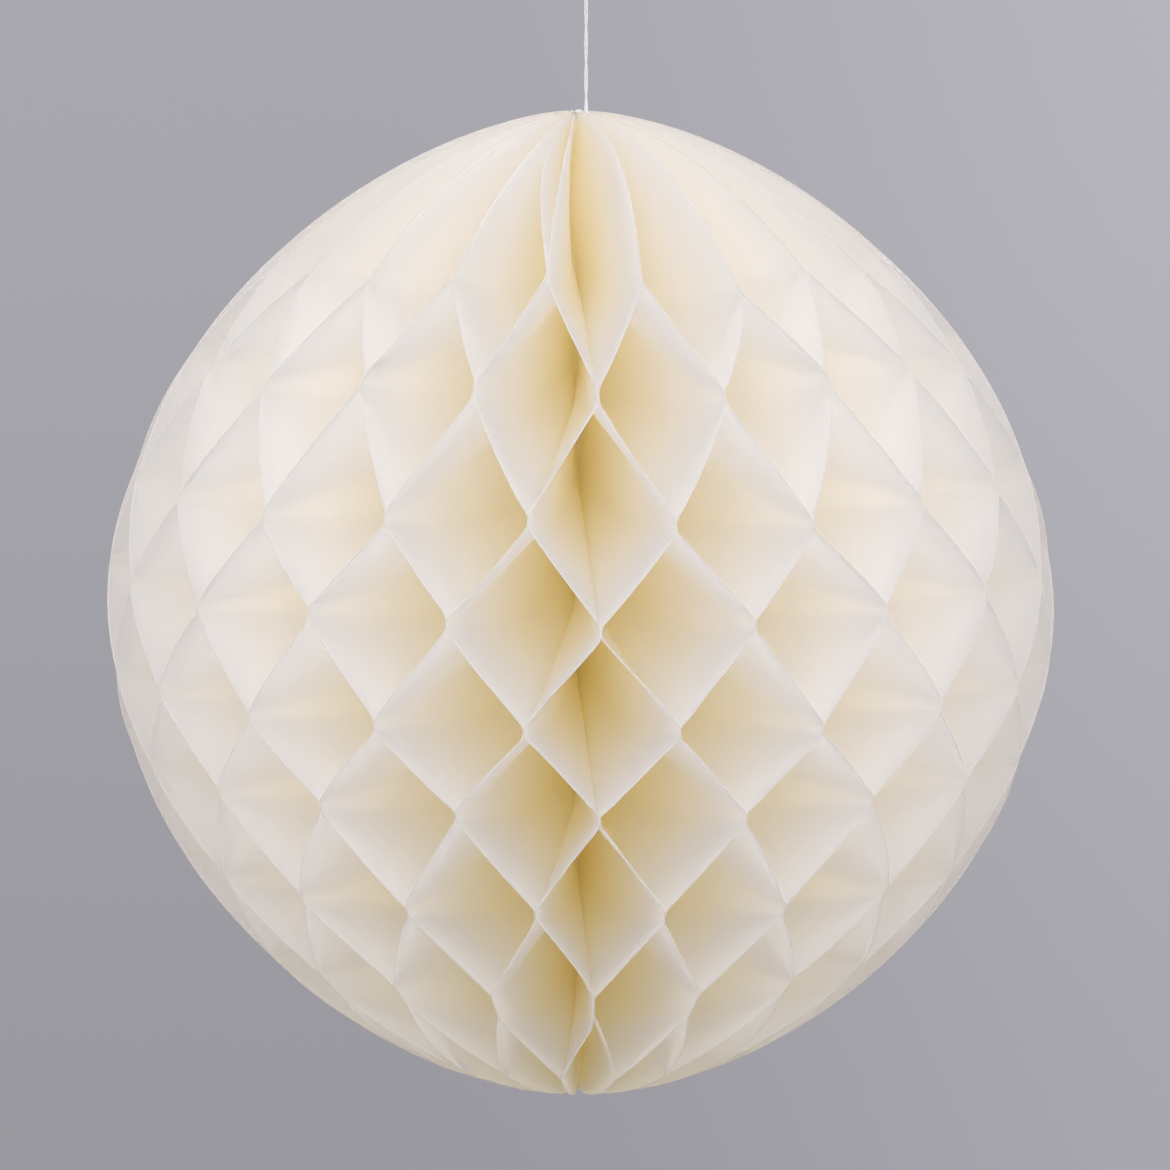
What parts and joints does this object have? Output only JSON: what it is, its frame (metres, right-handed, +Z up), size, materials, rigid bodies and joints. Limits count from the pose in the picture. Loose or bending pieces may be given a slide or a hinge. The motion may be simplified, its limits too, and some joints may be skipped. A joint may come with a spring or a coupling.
{
  "type": "honeycomb paper ball",
  "caption": "Cream tissue honeycomb ball, leaves glued in staggered rows to form diamond cells, hung on a doubled white thread.",
  "frame": {"origin": "middle of the ball, on its upright axis", "axes": "+Z up along the ball's axis towards the hanging thread; -Y towards the side that the picture shows; +X to the right in that view"},
  "size_m": [0.248, 0.248, 0.3112],
  "materials": {
    "tissue": "matte, thin and translucent, light cream",
    "thread": "white twisted cotton thread"
  },
  "bodies": {
    "root": {"leaf_01": "tissue", "leaf_02": "tissue", "leaf_03": "tissue", "leaf_04": "tissue", "leaf_05": "tissue", "leaf_06": "tissue", "leaf_07": "tissue", "leaf_08": "tissue", "leaf_09": "tissue", "leaf_10": "tissue", "leaf_11": "tissue", "leaf_12": "tissue", "leaf_13": "tissue", "leaf_14": "tissue", "leaf_15": "tissue", "leaf_16": "tissue", "leaf_17": "tissue", "leaf_18": "tissue", "leaf_19": "tissue", "leaf_20": "tissue", "leaf_21": "tissue", "leaf_22": "tissue", "leaf_23": "tissue", "leaf_24": "tissue", "leaf_25": "tissue", "leaf_26": "tissue", "leaf_27": "tissue", "leaf_28": "tissue", "leaf_29": "tissue", "leaf_30": "tissue", "leaf_31": "tissue", "leaf_32": "tissue", "leaf_33": "tissue", "leaf_34": "tissue", "leaf_35": "tissue", "leaf_36": "tissue", "leaf_37": "tissue", "leaf_38": "tissue", "leaf_39": "tissue", "leaf_40": "tissue", "binding": "tissue", "string": "thread", "tie_knot": "thread", "end_knot": "thread", "hanging_eye": "thread"}
  },
  "joints": []
}
